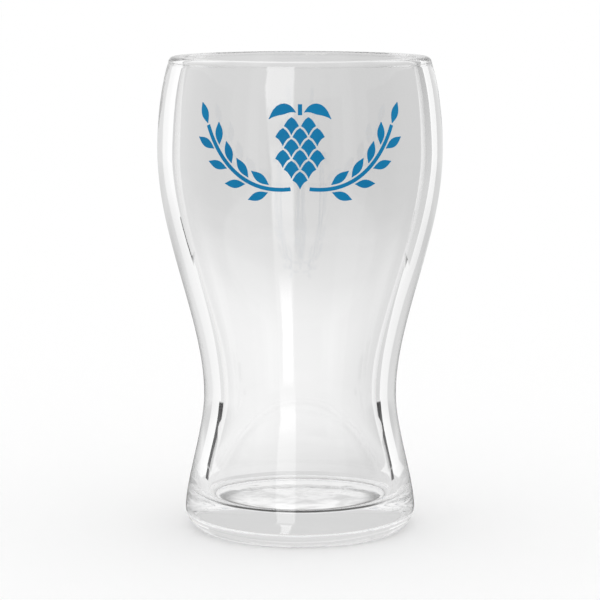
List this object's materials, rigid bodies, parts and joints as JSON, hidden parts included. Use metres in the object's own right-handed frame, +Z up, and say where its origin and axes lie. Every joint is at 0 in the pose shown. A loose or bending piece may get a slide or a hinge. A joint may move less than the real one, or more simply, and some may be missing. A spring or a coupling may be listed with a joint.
{
  "type": "beer taster glass",
  "caption": "Small footed tasting glass with a drawn-in waist, a full bowl, a rounded lip and a thick base; a blue enamel emblem of hops and barley is fired on the front.",
  "frame": {"origin": "on the table, at the centre of the ring that the glass stands on", "axes": "+Z up the axis of the glass, -Y out through the middle of the print, +X to the right of someone facing the print"},
  "size_m": [0.0612, 0.0614, 0.102],
  "materials": {
    "glass": "clear pressed glass, fire-polished",
    "enamel": "opaque blue ceramic enamel, screen-printed and fired, satin gloss"
  },
  "bodies": {
    "root": {"glass_body": "glass", "print_barley_grain_left_end": "enamel", "print_barley_grain_left_inner_1": "enamel", "print_barley_grain_left_inner_2": "enamel", "print_barley_grain_left_inner_3": "enamel", "print_barley_grain_left_inner_4": "enamel", "print_barley_grain_left_outer_1": "enamel", "print_barley_grain_left_outer_2": "enamel", "print_barley_grain_left_outer_3": "enamel", "print_barley_grain_left_outer_4": "enamel", "print_barley_grain_right_end": "enamel", "print_barley_grain_right_inner_1": "enamel", "print_barley_grain_right_inner_2": "enamel", "print_barley_grain_right_inner_3": "enamel", "print_barley_grain_right_inner_4": "enamel", "print_barley_grain_right_outer_1": "enamel", "print_barley_grain_right_outer_2": "enamel", "print_barley_grain_right_outer_3": "enamel", "print_barley_grain_right_outer_4": "enamel", "print_barley_stem_left": "enamel", "print_barley_stem_right": "enamel", "print_hop_bract_1_1": "enamel", "print_hop_bract_1_2": "enamel", "print_hop_bract_2_1": "enamel", "print_hop_bract_2_2": "enamel", "print_hop_bract_2_3": "enamel", "print_hop_bract_3_1": "enamel", "print_hop_bract_3_2": "enamel", "print_hop_bract_4_1": "enamel", "print_hop_bract_4_2": "enamel", "print_hop_bract_4_3": "enamel", "print_hop_bract_5_1": "enamel", "print_hop_bract_5_2": "enamel", "print_hop_bract_6_1": "enamel", "print_hop_leaf_left": "enamel", "print_hop_leaf_right": "enamel", "print_hop_stalk": "enamel"}
  },
  "joints": []
}
